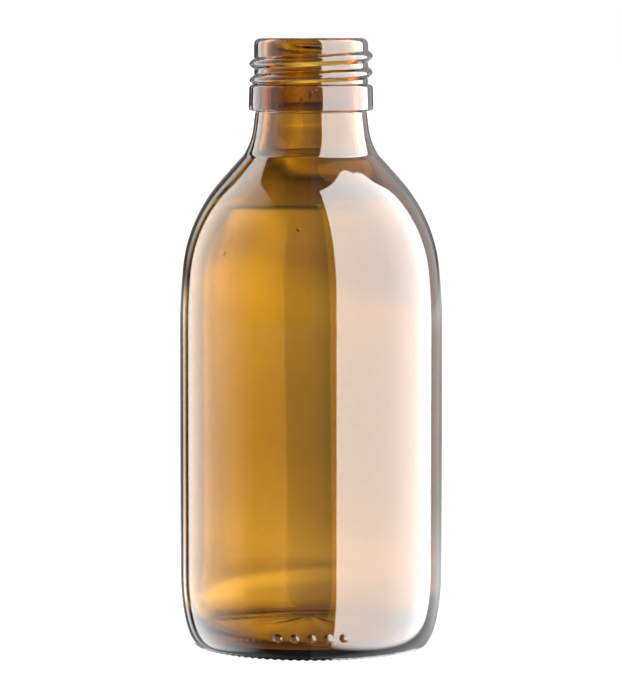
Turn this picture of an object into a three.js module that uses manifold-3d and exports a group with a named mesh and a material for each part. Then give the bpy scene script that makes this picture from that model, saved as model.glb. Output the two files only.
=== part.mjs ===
// A round amber glass bottle of the 200 ml size, with the standard 28 mm screw finish.
// It is one moulded piece of glass. Millimetres, +Z up along the bottle's axis, with the
// origin at the centre of the ring that the bottle stands on. The front is at -Y.
import * as THREE from 'three';
import { mergeVertices } from 'three/addons/utils/BufferGeometryUtils.js';
import Module from 'manifold-3d';

const wasm = await Module();
wasm.setup();

const degrees = THREE.MathUtils.degToRad;

// Driving dimensions of the bottle
const HEIGHT = 134.5;
const BODY_RADIUS = 29.15;
const WALL = 2.4;
const FACETS = 48; // round the axis

// Base: a flat standing ring, a push-up inside it, and a heel that curves up to the body
const RING_OUTER_RADIUS = 26;
const RING_INNER_RADIUS = 22.6;
const PUSH_UP = 2.6;
const HEEL_HEIGHT = 16;
const HEEL_WIDTH = 4.05;
const FOOT_ROUND = 0.5; // height of the small round between the ring and the heel
const FLOOR_RADIUS = 21; // where the inside's floor turns up into the inner heel
const FLOOR_EDGE_HEIGHT = 3.4;
const FLOOR_RISE = 2.2;
const INNER_HEEL_HEIGHT = 7;

// Shoulder: a long roll-in, a tighter round, a straight slope and a hollow neck root
const SHOULDER_START = 70.8;
const ROLL_IN_RADIUS = 125;
const ROLL_IN_ANGLE = degrees(5.85);
const SHOULDER_RADIUS = 35.3;
const SLOPE_ANGLE = degrees(41.6); // from the vertical
const SLOPE_LENGTH = 5.95;
const NECK_ROOT_RADIUS = 12;
const NECK_TAPER = degrees(6.9);

// Finish: depths are below the top of the lip
const BORE_RADIUS = 9.75;
const FINISH_RADIUS = 12.55; // between the threads
const LIP_OUTER_ROUND = 1.4;
const LIP_INNER_ROUND = 0.5;
const COLLAR_TOP_DEPTH = 10.2;
const COLLAR_BOTTOM_DEPTH = 16;
const COLLAR_TOP_RADIUS = 13.65;
const COLLAR_BOTTOM_RADIUS = 13.8;
const COLLAR_ROUND = 0.8;

// Thread: one right-hand start, which runs out into the collar
const THREAD_PITCH = 3.63;
const THREAD_HEIGHT = 1.05;
const THREAD_HALF_WIDTH = 1.1;
const THREAD_SINK = 0.4; // how deep the bead's own centre lies in the finish wall
const THREAD_BACK_DEPTH = 3.05; // depth of its centre line where it first passes the back
const THREAD_FIRST_TURN = -0.12; // turns from the back
const THREAD_LAST_TURN = 1.85;
const THREAD_RUN_OUT = 0.1; // turns over which each end fades

// Mould dots: a row of low raised dots on the front of the heel
const DOT_COUNT = 5;
const DOT_RADIUS = 0.9;
const DOT_SPACING = 3.6;
const DOT_HEIGHT = 5.2;

// Points round part of an ellipse, from one angle to another, both ends included.
function ellipse(centreRadius, centreHeight, radial, vertical, from, to, steps) {
  return Array.from({ length: steps + 1 }, (_, i) => {
    const angle = from + ((to - from) * i) / steps;
    return new THREE.Vector2(
      centreRadius + radial * Math.cos(angle),
      centreHeight + vertical * Math.sin(angle),
    );
  });
}

function round(centreRadius, centreHeight, radius, from, to, steps) {
  return ellipse(centreRadius, centreHeight, radius, radius, from, to, steps);
}

// A shallow dome from its centre on the axis out to its edge, where it is at `height`.
function dome(radius, rise, height, steps) {
  const sphere = (radius ** 2 + rise ** 2) / (2 * rise);
  const half = Math.asin(radius / sphere);
  return round(0, height + rise - sphere, sphere, Math.PI / 2, Math.PI / 2 - half, steps);
}

// The shoulder from the straight wall up to the neck, set in from the outside by `inset`.
// Each stretch leaves in the direction in which the last one arrived.
function shoulder(inset) {
  const points = [new THREE.Vector2(BODY_RADIUS - inset, SHOULDER_START)];
  let lean = 0;
  const bend = (radius, newLean, steps) => {
    const start = points.at(-1);
    const side = Math.sign(newLean - lean);
    for (let i = 1; i <= steps; i += 1) {
      const angle = lean + ((newLean - lean) * i) / steps;
      const inward = side * radius * (Math.cos(lean) - Math.cos(angle));
      const up = side * radius * (Math.sin(angle) - Math.sin(lean));
      points.push(new THREE.Vector2(start.x - inward, start.y + up));
    }
    lean = newLean;
  };
  bend(ROLL_IN_RADIUS - inset, ROLL_IN_ANGLE, 2);
  bend(SHOULDER_RADIUS - inset, SLOPE_ANGLE, 7);
  const end = points.at(-1);
  points.push(new THREE.Vector2(
    end.x - SLOPE_LENGTH * Math.sin(lean),
    end.y + SLOPE_LENGTH * Math.cos(lean),
  ));
  bend(NECK_ROOT_RADIUS + inset, NECK_TAPER, 4);
  return points;
}

// The underside and the outside, from the axis below the push-up to the top of the lip.
function outerOutline() {
  const pushUp = dome(RING_INNER_RADIUS, PUSH_UP, 0, 4);
  const heel = ellipse(
    BODY_RADIUS - HEEL_WIDTH, HEEL_HEIGHT, HEEL_WIDTH, HEEL_HEIGHT,
    Math.asin(FOOT_ROUND / HEEL_HEIGHT - 1), 0, 7,
  );
  const neckRoot = shoulder(0);
  const neckEnd = neckRoot.at(-1);
  const collarBottom = HEIGHT - COLLAR_BOTTOM_DEPTH;
  const collarTop = HEIGHT - COLLAR_TOP_DEPTH;
  const neckTopRadius = neckEnd.x - (collarBottom - neckEnd.y) * Math.tan(NECK_TAPER);
  const collarRound = round(
    COLLAR_TOP_RADIUS - COLLAR_ROUND, collarTop - COLLAR_ROUND, COLLAR_ROUND,
    0, Math.PI / 2, 3,
  );
  const lip = round(
    FINISH_RADIUS - LIP_OUTER_ROUND, HEIGHT - LIP_OUTER_ROUND, LIP_OUTER_ROUND,
    0, Math.PI / 2, 4,
  );
  return [
    ...pushUp,
    new THREE.Vector2(RING_OUTER_RADIUS, 0),
    ...heel, ...neckRoot,
    new THREE.Vector2(neckTopRadius, collarBottom),
    new THREE.Vector2(COLLAR_BOTTOM_RADIUS, collarBottom),
    ...collarRound,
    new THREE.Vector2(FINISH_RADIUS, collarTop),
    ...lip,
  ];
}

// The inside, from the inner edge of the lip down the bore to the floor's centre.
function innerOutline() {
  const lip = round(
    BORE_RADIUS + LIP_INNER_ROUND, HEIGHT - LIP_INNER_ROUND, LIP_INNER_ROUND,
    Math.PI / 2, Math.PI, 2,
  );
  const neck = shoulder(WALL).reverse();
  const neckTop = neck[0];
  const boreEnd = neckTop.y + (neckTop.x - BORE_RADIUS) / Math.tan(NECK_TAPER);
  const innerRadius = BODY_RADIUS - WALL;
  const heel = ellipse(
    FLOOR_RADIUS, FLOOR_EDGE_HEIGHT + INNER_HEEL_HEIGHT, innerRadius - FLOOR_RADIUS,
    INNER_HEEL_HEIGHT, 0, -Math.PI / 2, 6,
  );
  const floor = dome(FLOOR_RADIUS, FLOOR_RISE, FLOOR_EDGE_HEIGHT, 3).reverse().slice(1);
  return [...lip, new THREE.Vector2(BORE_RADIUS, boreEnd), ...neck, ...heel, ...floor];
}

// The rings of points that the thread's bead is skinned over, from its upper end down.
function threadRings() {
  const turns = THREAD_LAST_TURN - THREAD_FIRST_TURN;
  const steps = Math.round(turns * FACETS * 0.85);
  const centreRadius = FINISH_RADIUS - THREAD_SINK;
  const sides = 7;
  return Array.from({ length: steps + 1 }, (_, i) => {
    const turn = THREAD_FIRST_TURN + (turns * i) / steps;
    const fromEnd = Math.min(turn - THREAD_FIRST_TURN, THREAD_LAST_TURN - turn);
    const fade = Math.min(1, 0.25 + fromEnd / THREAD_RUN_OUT);
    const depth = THREAD_BACK_DEPTH + THREAD_PITCH * turn;
    const bearing = Math.PI / 2 - turn * 2 * Math.PI;
    return ellipse(
      centreRadius, HEIGHT - depth, (THREAD_HEIGHT + THREAD_SINK) * fade,
      THREAD_HALF_WIDTH, -Math.PI / 2, Math.PI / 2, sides - 1,
    ).map((p) => new THREE.Vector3(
      p.x * Math.cos(bearing), p.x * Math.sin(bearing), p.y,
    ));
  });
}

// A closed skin over rings that all have the same number of points.
function skin(rings) {
  const sides = rings[0].length;
  const index = [];
  for (let i = 0; i + 1 < rings.length; i += 1) {
    for (let j = 0; j < sides; j += 1) {
      const a = i * sides + j;
      const b = i * sides + ((j + 1) % sides);
      index.push(a, b, a + sides, b, b + sides, a + sides);
    }
  }
  const last = (rings.length - 1) * sides;
  for (let j = 1; j + 1 < sides; j += 1) {
    index.push(0, j + 1, j, last, last + j, last + j + 1);
  }
  const geometry = new THREE.BufferGeometry().setFromPoints(rings.flat());
  geometry.setIndex(index);
  return geometry;
}

// One low round dot, half sunk in the heel, facing the way the heel faces there.
function mouldDot(across) {
  const rise = 1 - DOT_HEIGHT / HEEL_HEIGHT;
  const heelRadius = BODY_RADIUS - HEEL_WIDTH * (1 - Math.sqrt(1 - rise ** 2));
  const bearing = -Math.PI / 2 + across / heelRadius;
  const dot = new THREE.SphereGeometry(DOT_RADIUS, 12, 6);
  dot.scale(0.4, 1, 1);
  dot.rotateZ(bearing);
  dot.translate(
    heelRadius * Math.cos(bearing), heelRadius * Math.sin(bearing), DOT_HEIGHT,
  );
  return dot;
}

function toSolid(geometry) {
  geometry.deleteAttribute('normal');
  geometry.deleteAttribute('uv');
  const merged = mergeVertices(geometry);
  return new wasm.Manifold(new wasm.Mesh({
    numProp: 3,
    vertProperties: Float32Array.from(merged.attributes.position.array),
    triVerts: Uint32Array.from(merged.index.array),
  }));
}

function toGeometry(solid) {
  const mesh = solid.getMesh();
  const geometry = new THREE.BufferGeometry();
  geometry.setAttribute('position', new THREE.BufferAttribute(mesh.vertProperties, 3));
  geometry.setIndex(new THREE.BufferAttribute(mesh.triVerts, 1));
  geometry.computeVertexNormals();
  return geometry;
}

// The blown glass: the lathe-round wall, the thread's bead and the mould dots in one piece.
function bottleGeometry() {
  const wall = new THREE.LatheGeometry([...outerOutline(), ...innerOutline()], FACETS);
  wall.rotateX(Math.PI / 2);
  let glass = toSolid(wall).add(toSolid(skin(threadRings())));
  for (let i = 0; i < DOT_COUNT; i += 1) {
    const across = (i - (DOT_COUNT - 1) / 2) * DOT_SPACING;
    glass = glass.add(toSolid(mouldDot(across)));
  }
  return toGeometry(glass);
}

const amberGlass = new THREE.MeshStandardMaterial({
  name: 'amber_glass',
  color: 0x8a5a1e,
  roughness: 0.05,
  metalness: 0,
  transparent: true,
  opacity: 0.7,
});

const bottle = new THREE.Mesh(bottleGeometry(), amberGlass);
bottle.name = 'bottle';

const group = new THREE.Group();
group.add(bottle);

export default group;
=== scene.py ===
import math

import bpy
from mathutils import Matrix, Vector


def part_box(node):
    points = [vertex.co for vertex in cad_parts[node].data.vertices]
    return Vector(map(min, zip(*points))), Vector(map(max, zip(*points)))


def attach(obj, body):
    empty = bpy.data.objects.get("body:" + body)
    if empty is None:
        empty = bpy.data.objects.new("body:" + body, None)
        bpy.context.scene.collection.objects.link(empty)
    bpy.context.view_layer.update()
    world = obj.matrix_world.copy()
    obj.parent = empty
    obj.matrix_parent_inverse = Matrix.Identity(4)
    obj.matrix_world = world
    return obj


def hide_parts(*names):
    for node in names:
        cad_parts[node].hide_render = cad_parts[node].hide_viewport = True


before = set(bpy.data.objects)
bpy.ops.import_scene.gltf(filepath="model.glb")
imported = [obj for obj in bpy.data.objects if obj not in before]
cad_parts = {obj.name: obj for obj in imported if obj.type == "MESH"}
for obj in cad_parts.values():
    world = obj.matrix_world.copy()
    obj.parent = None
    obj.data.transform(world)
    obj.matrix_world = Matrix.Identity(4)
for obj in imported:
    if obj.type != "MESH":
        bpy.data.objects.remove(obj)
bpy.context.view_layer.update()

bpy.ops.object.select_all(action="DESELECT")

# ---------------------------------------------------------------------------
# The camera stands level with the mouth of the bottle and looks down a little
# to the middle of it, so that the mouth is seen edge on and the foot from above.
# ---------------------------------------------------------------------------
low, high = (Vector(corner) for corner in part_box("bottle"))
bottle_height = high.z - low.z
body_radius = (high.x - low.x) / 2
camera_distance = 0.820
aim = Vector((0, 0, 0.06544))
bpy.ops.object.camera_add(location=(0, -camera_distance, bottle_height))
camera = bpy.context.object
camera.name = "camera"
camera.rotation_euler = (aim - camera.location).to_track_quat("-Z", "Y").to_euler()
camera.data.sensor_width = 36  # the long side of the picture
camera.data.lens = 190.6
camera.data.clip_end = 50
bpy.context.scene.camera = camera

# ---------------------------------------------------------------------------
# The studio: a white ground, and round the bottle two tall light panels, the
# bright one on the right and a softer one on the left. They are far enough away
# to be painted on the world by direction.
# ---------------------------------------------------------------------------


def group_with_sockets(name, inputs, outputs):
    tree = bpy.data.node_groups.new(name, "ShaderNodeTree")
    for socket, kind in inputs:
        tree.interface.new_socket(socket, in_out="INPUT", socket_type=kind)
    for socket, kind in outputs:
        tree.interface.new_socket(socket, in_out="OUTPUT", socket_type=kind)
    return tree, tree.nodes.new("NodeGroupInput"), tree.nodes.new("NodeGroupOutput")


def maths(tree, operation, first, second=None):
    node = tree.nodes.new("ShaderNodeMath")
    node.operation = operation
    for socket, value in zip(node.inputs, (first, second)):
        if value is None:
            continue
        if isinstance(value, (int, float)):
            socket.default_value = value
        else:
            tree.links.new(value, socket)
    return node.outputs[0]


def ramp_between(tree, value, start, end, to_min=0.0, to_max=1.0):
    node = tree.nodes.new("ShaderNodeMapRange")
    node.interpolation_type = "SMOOTHSTEP"
    for name, given in (
        ("Value", value), ("From Min", start), ("From Max", end),
        ("To Min", to_min), ("To Max", to_max),
    ):
        if isinstance(given, (int, float)):
            node.inputs[name].default_value = given
        else:
            tree.links.new(given, node.inputs[name])
    return node.outputs["Result"]


def light_panel_group():
    """A flat panel seen from the bottle: 1 on it, 0 off it, with its own soft edges."""
    names = ("Facing", "Left", "Left Soft", "Right", "Right Soft", "Top", "Top Soft",
             "Top Fall", "Bottom", "Bottom Soft")
    tree, given, put = group_with_sockets(
        "Light Panel",
        [("Direction", "NodeSocketVector")] + [(n, "NodeSocketFloat") for n in names],
        [("Mask", "NodeSocketFloat")],
    )
    parts = tree.nodes.new("ShaderNodeSeparateXYZ")
    tree.links.new(given.outputs["Direction"], parts.inputs[0])
    x, y, z = parts.outputs
    side = maths(tree, "SINE", given.outputs["Facing"])
    ahead = maths(tree, "COSINE", given.outputs["Facing"])
    depth = maths(tree, "SUBTRACT", maths(tree, "MULTIPLY", x, side),
                  maths(tree, "MULTIPLY", y, ahead))
    across = maths(tree, "ADD", maths(tree, "MULTIPLY", x, ahead),
                   maths(tree, "MULTIPLY", y, side))
    safe = maths(tree, "MAXIMUM", depth, 0.001)
    u = maths(tree, "DIVIDE", across, safe)
    v = maths(tree, "DIVIDE", z, safe)
    fall_end = 1.2  # how far across a sloping top levels out
    falling = maths(tree, "MINIMUM", u, fall_end)
    fallen = maths(tree, "ADD", v, maths(tree, "MULTIPLY", falling, given.outputs["Top Fall"]))

    def edge(value, at, soft, sign):
        distance = maths(tree, "MULTIPLY", maths(tree, "SUBTRACT", value, at), sign)
        return ramp_between(tree, distance, 0.0, soft)

    mask = maths(tree, "GREATER_THAN", depth, 0.001)
    for value, name, sign in ((u, "Left", 1), (u, "Right", -1), (fallen, "Top", -1),
                              (v, "Bottom", 1)):
        here = edge(value, given.outputs[name], given.outputs[name + " Soft"], sign)
        mask = maths(tree, "MULTIPLY", mask, here)
    tree.links.new(mask, put.inputs["Mask"])
    return tree


panel_group = light_panel_group()
world = bpy.data.worlds.new("studio")
bpy.context.scene.world = world
world.use_nodes = True
world.cycles.sampling_method = "NONE"
studio = world.node_tree
studio.nodes.clear()
direction = studio.nodes.new("ShaderNodeTexCoord").outputs["Generated"]


def panel(facing, **edges):
    node = studio.nodes.new("ShaderNodeGroup")
    node.node_tree = panel_group
    studio.links.new(direction, node.inputs["Direction"])
    node.inputs["Facing"].default_value = math.radians(facing)
    for name, value in edges.items():
        node.inputs[name.replace("_", " ").title()].default_value = value
    return node.outputs["Mask"]


# Edges are slopes seen from the bottle: how far across or up for one unit of distance.
right_panel_level, left_panel_level = 11.1, 4.7
right_panel = maths(studio, "MULTIPLY", panel(
    55, left=-0.66, left_soft=0.03, right=4.4, right_soft=1.4,
    top=3.35, top_soft=0.06, top_fall=0.7, bottom=-1.35, bottom_soft=0.5,
), right_panel_level)
left_panel = maths(studio, "MULTIPLY", panel(
    -80, left=-1.6, left_soft=0.2, right=0.7, right_soft=1.75,
    top=1.6, top_soft=0.06, top_fall=0.0, bottom=-1.5, bottom_soft=0.5,
), left_panel_level)

# Behind the bottle the white ground is brighter than the wall above it, and both
# fade towards the sides of the room, on the left more than on the right, with one
# bright strip on the left. Right below the bottle and behind it the ground keeps its
# full level, and a pale wall stands on the right.
RAMP_TOP = 2.6  # the level that a ramp's white stands for


def level_ramp(value, stops):
    """Levels by direction, eased between (place on the ramp, level) stops."""
    node = studio.nodes.new("ShaderNodeValToRGB")
    node.color_ramp.interpolation = "EASE"
    elements = node.color_ramp.elements
    while len(elements) < len(stops):
        elements.new(0.5)
    for element, (place, level) in zip(elements, stops):
        element.position = place
        element.color = (level / RAMP_TOP,) * 3 + (1,)
    studio.links.new(value, node.inputs[0])
    return maths(studio, "MULTIPLY", node.outputs["Color"], RAMP_TOP)


def by_elevation(degrees):
    return 0.5 + 0.5 * math.sin(math.radians(degrees))


def by_bearing(degrees):
    return 0.5 + degrees / 360


parts = studio.nodes.new("ShaderNodeSeparateXYZ")
studio.links.new(direction, parts.inputs[0])
raised = maths(studio, "ADD", maths(studio, "MULTIPLY", parts.outputs[2], 0.5), 0.5)
upward = level_ramp(raised, [(by_elevation(e), level) for e, level in (
    (-90, 0.5), (-60, 0.8), (-40, 1.0), (-20, 1.4), (-12, 1.9), (-9.7, 2.5), (-8.6, 2.45),
    (-8.1, 2.3), (-7.5, 1.75), (-7.0, 1.4), (-6.2, 1.2), (-5.4, 1.3), (-4.6, 1.54),
    (-3.6, 1.95), (-3.0, 1.95), (-2.6, 1.75), (-2.3, 1.3), (-1.95, 0.9), (-1.6, 0.6),
    (-1.2, 0.5), (-0.8, 0.4), (-0.3, 0.3), (0.4, 0.5), (3, 0.8), (12, 1.3), (30, 1.7),
    (60, 1.0), (90, 0.5),
)])
bearing = maths(studio, "ARCTAN2", parts.outputs[0], parts.outputs[1])
turned_round = maths(studio, "ADD", maths(studio, "MULTIPLY", bearing, 0.5 / math.pi), 0.5)
sideways = level_ramp(turned_round, [(by_bearing(b), level) for b, level in (
    (-180, 0.25), (-120, 0.12), (-60, 0.05), (-38, 0.04), (-33, 1.3), (-29, 1.3),
    (-26, 0.12), (-20, 0.15), (-14, 0.38), (-10, 0.6), (-6, 0.95), (-3.6, 1.3), (-2.2, 1.36),
    (-1, 1.12), (0.3, 1.0), (1.2, 0.74), (3, 0.6), (10, 0.5), (18, 0.45), (22, 0.55),
    (31, 0.85), (44, 0.9), (60, 0.8), (90, 0.5), (120, 0.2), (180, 0.25),
)])
below = ramp_between(studio, parts.outputs[2], -0.2, -0.6)
behind = ramp_between(studio, parts.outputs[1], -0.5, 0.1)
ground = maths(studio, "MULTIPLY", below, behind)
right_wall_level = 1.5
right_wall = ramp_between(
    studio, bearing, math.radians(20), math.radians(29), 0.0, right_wall_level)
upward = maths(studio, "MAXIMUM", upward, right_wall)
backdrop = maths(studio, "MULTIPLY", upward, maths(studio, "MAXIMUM", sideways, ground))
level = maths(studio, "ADD", backdrop, maths(studio, "ADD", right_panel, left_panel))

# Straight to the camera, and as light on the ground, the studio is plain white.
seen = studio.nodes.new("ShaderNodeLightPath")
plain = maths(studio, "MAXIMUM", seen.outputs["Is Camera Ray"], seen.outputs["Is Diffuse Ray"])
lit = studio.nodes.new("ShaderNodeBackground")
lit.inputs["Color"].default_value = (1, 1, 1, 1)
studio.links.new(level, lit.inputs["Strength"])
white = studio.nodes.new("ShaderNodeBackground")
white.inputs["Color"].default_value = (1, 1, 1, 1)
white.inputs["Strength"].default_value = 1.0
choose = studio.nodes.new("ShaderNodeMixShader")
studio.links.new(plain, choose.inputs[0])
studio.links.new(lit.outputs[0], choose.inputs[1])
studio.links.new(white.outputs[0], choose.inputs[2])
studio.links.new(choose.outputs[0], studio.nodes.new("ShaderNodeOutputWorld").inputs["Surface"])

# The white ground under the bottle, which isn't seen through or in the glass.
floor_size = 30.0
bpy.ops.mesh.primitive_plane_add(size=floor_size, location=(0, 0, low.z))
floor = bpy.context.object
floor.name = "floor"
floor.visible_glossy = False
floor.visible_transmission = False
paper = bpy.data.materials.new("white_paper")
paper.use_nodes = True
paper_shader = paper.node_tree.nodes["Principled BSDF"]
paper_shader.inputs["Base Color"].default_value = (0.4, 0.4, 0.4, 1)
paper_shader.inputs["Roughness"].default_value = 1.0
paper_shader.inputs["Specular IOR Level"].default_value = 0.0
paper_shader.inputs["Emission Color"].default_value = (1, 1, 1, 1)
paper_shader.inputs["Emission Strength"].default_value = 0.85
floor.data.materials.append(paper)

scene = bpy.context.scene
scene.view_settings.view_transform = "Standard"
scene.cycles.max_bounces = 40
scene.cycles.transmission_bounces = 40
scene.cycles.glossy_bounces = 24

# ---------------------------------------------------------------------------
# The bottle is one gob of amber glass, pressed into its finish and then blown
# into a two-part mould. Its outside follows the mould, its inside is free and
# so the wall is a little thicker on the right. Heights are above the ground.
# ---------------------------------------------------------------------------
MM = 0.001
wall, shoulder_wall, slope_extra = 2.4 * MM, 2.75 * MM, 0.85 * MM
slope_start, slope_full = 97 * MM, 103 * MM
slope_fall, slope_end = 104 * MM, 118 * MM
ring_outer, ring_inner, push_up = 26 * MM, 22.6 * MM, 2.6 * MM
heel_height, heel_width, foot_round = 16 * MM, 4.05 * MM, 0.5 * MM
floor_radius, floor_edge, floor_top, inner_heel_height = 21 * MM, 2.6 * MM, 4.8 * MM, 11 * MM
inner_heel_turn = 101.7  # degrees, past level so that it runs into the dome of the floor
shoulder_start, shoulder_rise, neck_taper = 70.78 * MM, 28 * MM, math.radians(6)
shoulder_arcs = (  # radius, the lean that it ends with, and the share of the steps
    (124.8 * MM, 5.85, 0.2), (35.29 * MM, 40.7, 0.4), (203.5 * MM, 42.8, 0.1),
    (-4.18 * MM, 30.67, 0.12), (-14.59 * MM, 6, 0.2),
)
bore_radius, finish_radius = 9.75 * MM, 12.55 * MM
lip_outer_round, lip_inner_round, finish_root_round = 1.4 * MM, 0.5 * MM, 0.3 * MM
collar_top, collar_bottom = bottle_height - 10.2 * MM, bottle_height - 16 * MM
collar_top_radius, collar_bottom_radius = 13.65 * MM, 13.8 * MM
collar_round, collar_edge_round = 0.8 * MM, 0.45 * MM


def ellipse(centre, radial, vertical, start, end, steps):
    """Points (radius, height) round part of an ellipse, angles in degrees."""
    angles = (math.radians(start + (end - start) * i / steps) for i in range(steps + 1))
    return [(centre[0] + radial * math.cos(a), centre[1] + vertical * math.sin(a)) for a in angles]


def straight(start, end, steps):
    return [(start[0] + (end[0] - start[0]) * i / steps, start[1] + (end[1] - start[1]) * i / steps)
            for i in range(1, steps + 1)]


def shoulder(steps):
    """The outside of the shoulder, from the straight wall to the neck."""
    points = [(body_radius, shoulder_start)]
    lean = 0.0
    for radius, degrees, share in shoulder_arcs:
        x, z = points[-1]
        new_lean = math.radians(degrees)
        count = round(steps * share)
        for i in range(1, count + 1):
            angle = lean + (new_lean - lean) * i / count
            points.append((x - radius * (math.cos(lean) - math.cos(angle)),
                           z + radius * (math.sin(angle) - math.sin(lean))))
        lean = new_lean
    return points


def smooth(value):
    value = max(0.0, min(1.0, value))
    return value * value * (3 - 2 * value)


def dome(edge, top, steps):
    """A shallow dome from its top on the axis out to its edge."""
    rise = top - edge[1]
    sphere = (edge[0] ** 2 + rise ** 2) / (2 * rise)
    half = math.degrees(math.asin(edge[0] / sphere))
    return ellipse((0, top - sphere), sphere, sphere, 90, 90 - half, steps)


def outside():
    under = dome((ring_inner, 0), push_up, 12)
    ring = straight(under[-1], (ring_outer, 0), 6)
    foot_angle = -math.degrees(math.asin(1 - foot_round / heel_height))
    heel = ellipse((body_radius - heel_width, heel_height), heel_width, heel_height,
                   foot_angle, 0, 26)
    ring += ellipse((ring_outer, heel[0][1]), heel[0][0] - ring_outer, foot_round, -90, 0, 5)[1:-1]
    body = straight(heel[-1], (body_radius, shoulder_start), 14)
    rise = shoulder(60)[1:]
    end = rise[-1]
    neck_top = end[0] - (collar_bottom - end[1]) * math.tan(neck_taper)
    neck = straight(end, (neck_top, collar_bottom - collar_edge_round), 6)
    root = ellipse((neck_top + collar_edge_round, collar_bottom - collar_edge_round),
                   collar_edge_round, collar_edge_round, 180, 90, 3)[1:]
    under_collar = straight(root[-1], (collar_bottom_radius - collar_edge_round, collar_bottom), 2)
    edge = ellipse((collar_bottom_radius - collar_edge_round, collar_bottom + collar_edge_round),
                   collar_edge_round, collar_edge_round, -90, 0, 3)[1:]
    side = straight(edge[-1], (collar_top_radius, collar_top - collar_round), 4)
    crown = ellipse((collar_top_radius - collar_round, collar_top - collar_round),
                    collar_round, collar_round, 0, 82, 7)[1:]
    top_root = ellipse((finish_radius + finish_root_round, collar_top + finish_root_round),
                       finish_root_round, finish_root_round, 250, 180, 3)
    finish = straight(top_root[-1], (finish_radius, bottle_height - lip_outer_round), 64)
    lip = ellipse((finish_radius - lip_outer_round, bottle_height - lip_outer_round),
                  lip_outer_round, lip_outer_round, 0, 90, 8)[1:]
    return (under + ring + heel + body + rise + neck + root + under_collar + edge + side
            + crown + top_root + finish + lip)


def shoulder_thickness(z):
    """Measured level, the wall is thickest where the shoulder slopes most."""
    upper = smooth((z - shoulder_start) / shoulder_rise)
    slope = (smooth((z - slope_start) / (slope_full - slope_start))
             * (1 - smooth((z - slope_fall) / (slope_end - slope_fall))))
    return wall + (shoulder_wall - wall) * upper + slope_extra * slope


def inside():
    lip = ellipse((bore_radius + lip_inner_round, bottle_height - lip_inner_round),
                  lip_inner_round, lip_inner_round, 90, 180, 5)
    rise = [(x - shoulder_thickness(z), z) for x, z in reversed(shoulder(50))]
    bore_end = rise[0][1] + (rise[0][0] - bore_radius) / math.tan(neck_taper)
    bore = straight(lip[-1], (bore_radius, bore_end), 18)
    neck = straight(bore[-1], rise[0], 6)[:-1]
    inner_radius = body_radius - wall
    heel = ellipse((floor_radius, floor_edge + inner_heel_height),
                   inner_radius - floor_radius, inner_heel_height, 0, -inner_heel_turn, 26)
    body = straight(rise[-1], heel[0], 14)[:-1]
    floor = dome(heel[-1], floor_top, 14)[::-1][1:]
    return lip + bore + neck + rise + body + heel + floor


def turned(name, outline, steps):
    """Draws an outline by extruding one vertex along it, then spins it round the axis."""
    bpy.ops.mesh.primitive_plane_add(size=MM)
    turned_object = bpy.context.object
    turned_object.name = turned_object.data.name = name
    bpy.ops.object.mode_set(mode="EDIT")
    bpy.ops.mesh.merge(type="CENTER")
    here = Vector((0, 0, 0))
    for i, (radius, height) in enumerate(outline):
        there = Vector((radius, 0, height))
        if i == 0:
            bpy.ops.transform.translate(value=there - here)
        else:
            bpy.ops.mesh.extrude_region_move(TRANSFORM_OT_translate={"value": there - here})
        here = there
    bpy.ops.mesh.select_all(action="SELECT")
    bpy.ops.mesh.spin(steps=steps, angle=math.tau, center=(0, 0, 0), axis=(0, 0, 1))
    bpy.ops.mesh.select_all(action="SELECT")
    bpy.ops.mesh.remove_doubles(threshold=0.004 * MM)
    bpy.ops.mesh.normals_make_consistent(inside=False)
    bpy.ops.object.mode_set(mode="OBJECT")
    bpy.ops.object.shade_smooth()
    return turned_object


steps_round = 216
glass_bottle = turned("glass_bottle", outside() + inside(), steps_round)

# The thread is one right-hand start of about two turns, pressed with the finish.
# Depths are below the mouth, and turns are counted from the back.
thread_pitch, thread_height, thread_half_width = 3.63 * MM, 1.05 * MM, 1.25 * MM
thread_back_depth, thread_first, thread_last = 3.05 * MM, -0.12, 1.85
thread_run_out = 0.10


def raise_where(target, name, amount_at, height, axis="NORMAL"):
    """Lifts the surface by height times a weight that a rule gives for each vertex."""
    group = target.vertex_groups.new(name=name)
    for vertex in target.data.vertices:
        amount = amount_at(vertex.co, vertex.normal)
        if amount > 0.0005:
            group.add([vertex.index], min(1.0, amount), "REPLACE")
    lift = target.modifiers.new(name, "DISPLACE")
    lift.vertex_group = name
    lift.strength = height
    lift.mid_level = 0
    lift.direction = axis
    bpy.ops.object.modifier_apply(modifier=name)
    target.vertex_groups.remove(target.vertex_groups[name])


def thread(place, normal):
    """The single right-hand bead, as it winds down the finish from the back."""
    radius = math.hypot(place.x, place.y)
    depth = bottle_height - place.z
    if radius < finish_radius - 0.02 * MM or depth > bottle_height - collar_top or depth < 1.2 * MM:
        return 0
    first = ((math.pi / 2 - math.atan2(place.y, place.x)) / math.tau) % 1
    best = 0
    for lap in (-1, 0, 1, 2):
        turn = first + lap
        if thread_first < turn < thread_last:
            away = (depth - thread_back_depth - thread_pitch * turn) / thread_half_width
            if abs(away) < 1:
                from_end = min(turn - thread_first, thread_last - turn) / thread_run_out
                best = max(best, smooth(from_end) * math.cos(away * math.pi / 2) ** 0.85)
    return best


raise_where(glass_bottle, "thread", thread, thread_height)


def is_inside(place, normal):
    """The free inner surface faces the axis, and below that it is the floor."""
    radius = math.hypot(place.x, place.y)
    towards_axis = -(place.x * normal.x + place.y * normal.y) / max(radius, MM)
    above_base = place.z > 2.5 * MM and radius < body_radius - 1.2 * MM
    return above_base and (towards_axis > 0.3 or (place.z < 20 * MM and normal.z > 0.3))


# Blowing leaves the inside a little off centre and faintly waved, below the part of
# the bore that the plunger forms.
aside, wave_height = -0.8 * MM, 0.1 * MM
plunger_end = bottle_height - 22 * MM


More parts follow.
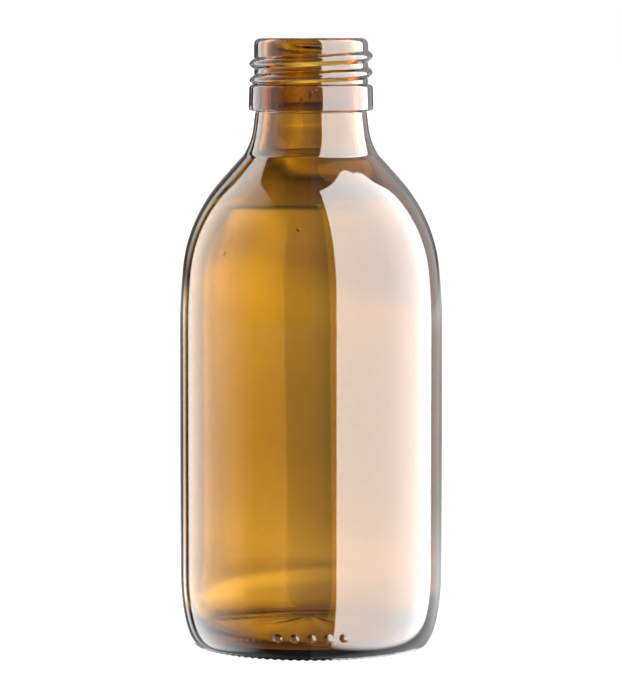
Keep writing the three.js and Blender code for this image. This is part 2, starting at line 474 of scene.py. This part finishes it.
def blown_aside(place, normal):
    """How far the free inside sits off centre: most at the heel, not at all in the bore."""
    if not is_inside(place, normal):
        return 0
    below_neck = smooth((plunger_end - 2 * MM - place.z) / (10 * MM))
    at_heel = smooth((20 * MM - place.z) / (14 * MM))
    at_shoulder = smooth((place.z - shoulder_start) / (16 * MM))
    return below_neck * (0.5 + 0.5 * at_heel + 0.25 * at_shoulder)


raise_where(glass_bottle, "uneven_wall", blown_aside, aside, axis="X")


def blown_waves(place, normal):
    """Low, mostly upright waves that blowing leaves in the free surface."""
    if not is_inside(place, normal) or place.z > plunger_end:
        return 0
    round_it = math.atan2(place.y, place.x)
    up = place.z / MM
    fade = smooth((plunger_end - place.z) / (8 * MM))
    return fade * (0.5 + 0.2 * math.sin(7 * round_it + 0.05 * up)
                   + 0.15 * math.sin(13 * round_it - 0.03 * up + 1)
                   + 0.04 * math.sin(0.55 * up + 2 * math.sin(3 * round_it)))


raise_where(glass_bottle, "blown_waves", blown_waves, wave_height)


def refine(target, is_part, cuts, curve=1.0):
    """Divides the faces that a rule picks, along the curve of the surface."""
    bpy.ops.object.mode_set(mode="EDIT")
    bpy.ops.mesh.select_mode(type="FACE")
    bpy.ops.mesh.select_all(action="DESELECT")
    bpy.ops.object.mode_set(mode="OBJECT")
    for face in target.data.polygons:
        face.select = is_part(face.center)
    bpy.ops.object.mode_set(mode="EDIT")
    bpy.ops.mesh.subdivide(number_cuts=cuts, smoothness=curve)
    bpy.ops.object.mode_set(mode="OBJECT")


# Five raised mould dots in a row stand at the front of the heel.
dot_radius, dot_pitch, dot_height, dot_level = 0.9 * MM, 3.6 * MM, 0.36 * MM, 5.2 * MM
dots_each_side = 2


def is_dotted(place):
    outer = math.hypot(place.x, place.y) > body_radius - 2.2 * MM
    return (outer and place.y < 0 and abs(place.x) < dots_each_side * dot_pitch + 1.3 * dot_radius
            and abs(place.z - dot_level) < 1.5 * dot_radius)


def mould_dots(place, normal):
    if not is_dotted(place):
        return 0
    across = min(abs(place.x - dot_pitch * i) for i in range(-dots_each_side, dots_each_side + 1))
    away = math.hypot(across, place.z - dot_level) / dot_radius
    return math.sqrt(1 - away ** 2) if away < 1 else 0


refine(glass_bottle, is_dotted, 3)
raise_where(glass_bottle, "mould_dots", mould_dots, dot_height)

# The edge of the standing ring is knurled: shallow gaps part short bearing crescents.
crescents, gap_height, knurl_inner = 92, 0.26 * MM, ring_outer - 1.7 * MM


def is_knurled(place):
    return place.z < foot_round and math.hypot(place.x, place.y) > knurl_inner


def knurl_gaps(place, normal):
    if not is_knurled(place) or place.z > foot_round - 0.01 * MM:
        return 0
    outwards = smooth((math.hypot(place.x, place.y) - knurl_inner) / (1.2 * MM))
    gap = 0.5 + 0.5 * math.cos(crescents * math.atan2(place.y, place.x))
    return outwards * (1 - place.z / foot_round) * gap ** 0.8


refine(glass_bottle, is_knurled, 2, curve=0.0)
raise_where(glass_bottle, "knurl_gaps", knurl_gaps, gap_height, axis="Z")

# A few seeds, small bubbles caught in the glass, stand up at the surface.
seed_height = 0.16 * MM
seeds = [  # place round the bottle in degrees from the front, height, radius
    (-42.8, 88.2 * MM, 0.4 * MM), (-6, 93.5 * MM, 0.3 * MM), (0, 122.6 * MM, 0.25 * MM),
    (5, 123.1 * MM, 0.22 * MM), (-9, 121.2 * MM, 0.22 * MM), (17, 86 * MM, 0.25 * MM),
]


def seed_nearby(place, reach):
    """How near a place on the outside is to the nearest seed, 1 at its centre."""
    best = 0
    radius = math.hypot(place.x, place.y)
    for degrees, height, size in seeds:
        off = (math.atan2(place.x, -place.y) - math.radians(degrees)) * radius
        away = math.hypot(off, place.z - height) / (size * reach)
        best = max(best, 1 - away)
    return best


def raised_seeds(place, normal):
    return 0 if is_inside(place, normal) else smooth(seed_nearby(place, 1.0))


refine(glass_bottle, lambda place: seed_nearby(place, 3.0) > 0, 3)
raise_where(glass_bottle, "seeds", raised_seeds, seed_height)


# Amber glass is clear: its colour comes from what it takes out of the light on the way
# through. Cords and faint ripples are what a quick melt leaves in it.
cord_spacing, ripple_height = 9 * MM, 0.006 * MM


def amber_cords_group():
    """Cords, the upright streaks of slightly different glass: tint and height."""
    tree, given, put = group_with_sockets(
        "Amber Cords",
        [("Place", "NodeSocketVector"), ("Spacing", "NodeSocketFloat")],
        [("Tint", "NodeSocketColor"), ("Height", "NodeSocketFloat")],
    )
    stretch = tree.nodes.new("ShaderNodeVectorMath")
    stretch.operation = "MULTIPLY"
    tree.links.new(given.outputs["Place"], stretch.inputs[0])
    stretch.inputs[1].default_value = (1, 1, 0.22)
    cords = tree.nodes.new("ShaderNodeTexNoise")
    cords.inputs["Detail"].default_value = 1.5
    scale = maths(tree, "DIVIDE", 1.0, given.outputs["Spacing"])
    tree.links.new(stretch.outputs[0], cords.inputs["Vector"])
    tree.links.new(scale, cords.inputs["Scale"])
    tint = tree.nodes.new("ShaderNodeMix")
    tint.data_type = "RGBA"
    tint.inputs["A"].default_value = (0.985, 0.98, 0.965, 1)
    tint.inputs["B"].default_value = (1, 1, 1, 1)
    strength = ramp_between(tree, cords.outputs["Fac"], 0.35, 0.6)
    tree.links.new(strength, tint.inputs["Factor"])
    tree.links.new(tint.outputs["Result"], put.inputs["Tint"])
    tree.links.new(cords.outputs["Fac"], put.inputs["Height"])
    return tree


amber = bpy.data.materials.new("amber_glass")
amber.use_nodes = True
glass = amber.node_tree.nodes["Principled BSDF"]
cords = amber.node_tree.nodes.new("ShaderNodeGroup")
cords.node_tree = amber_cords_group()
place = amber.node_tree.nodes.new("ShaderNodeTexCoord").outputs["Object"]
amber.node_tree.links.new(place, cords.inputs["Place"])
cords.inputs["Spacing"].default_value = cord_spacing
amber.node_tree.links.new(cords.outputs["Tint"], glass.inputs["Base Color"])
ripple = amber.node_tree.nodes.new("ShaderNodeBump")
ripple.inputs["Distance"].default_value = ripple_height
amber.node_tree.links.new(cords.outputs["Height"], ripple.inputs["Height"])
amber.node_tree.links.new(ripple.outputs[0], glass.inputs["Normal"])
glass.inputs["Roughness"].default_value = 0.0
glass.inputs["IOR"].default_value = 1.52
glass.inputs["Transmission Weight"].default_value = 1.0
absorption = amber.node_tree.nodes.new("ShaderNodeVolumeAbsorption")
absorption.inputs["Color"].default_value = (0.749, 0.605, 0.053, 1)
absorption.inputs["Density"].default_value = 1080
amber.node_tree.links.new(
    absorption.outputs[0], amber.node_tree.nodes["Material Output"].inputs["Volume"])
glass_bottle.data.materials.append(amber)

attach(glass_bottle, "root")
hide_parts("bottle")
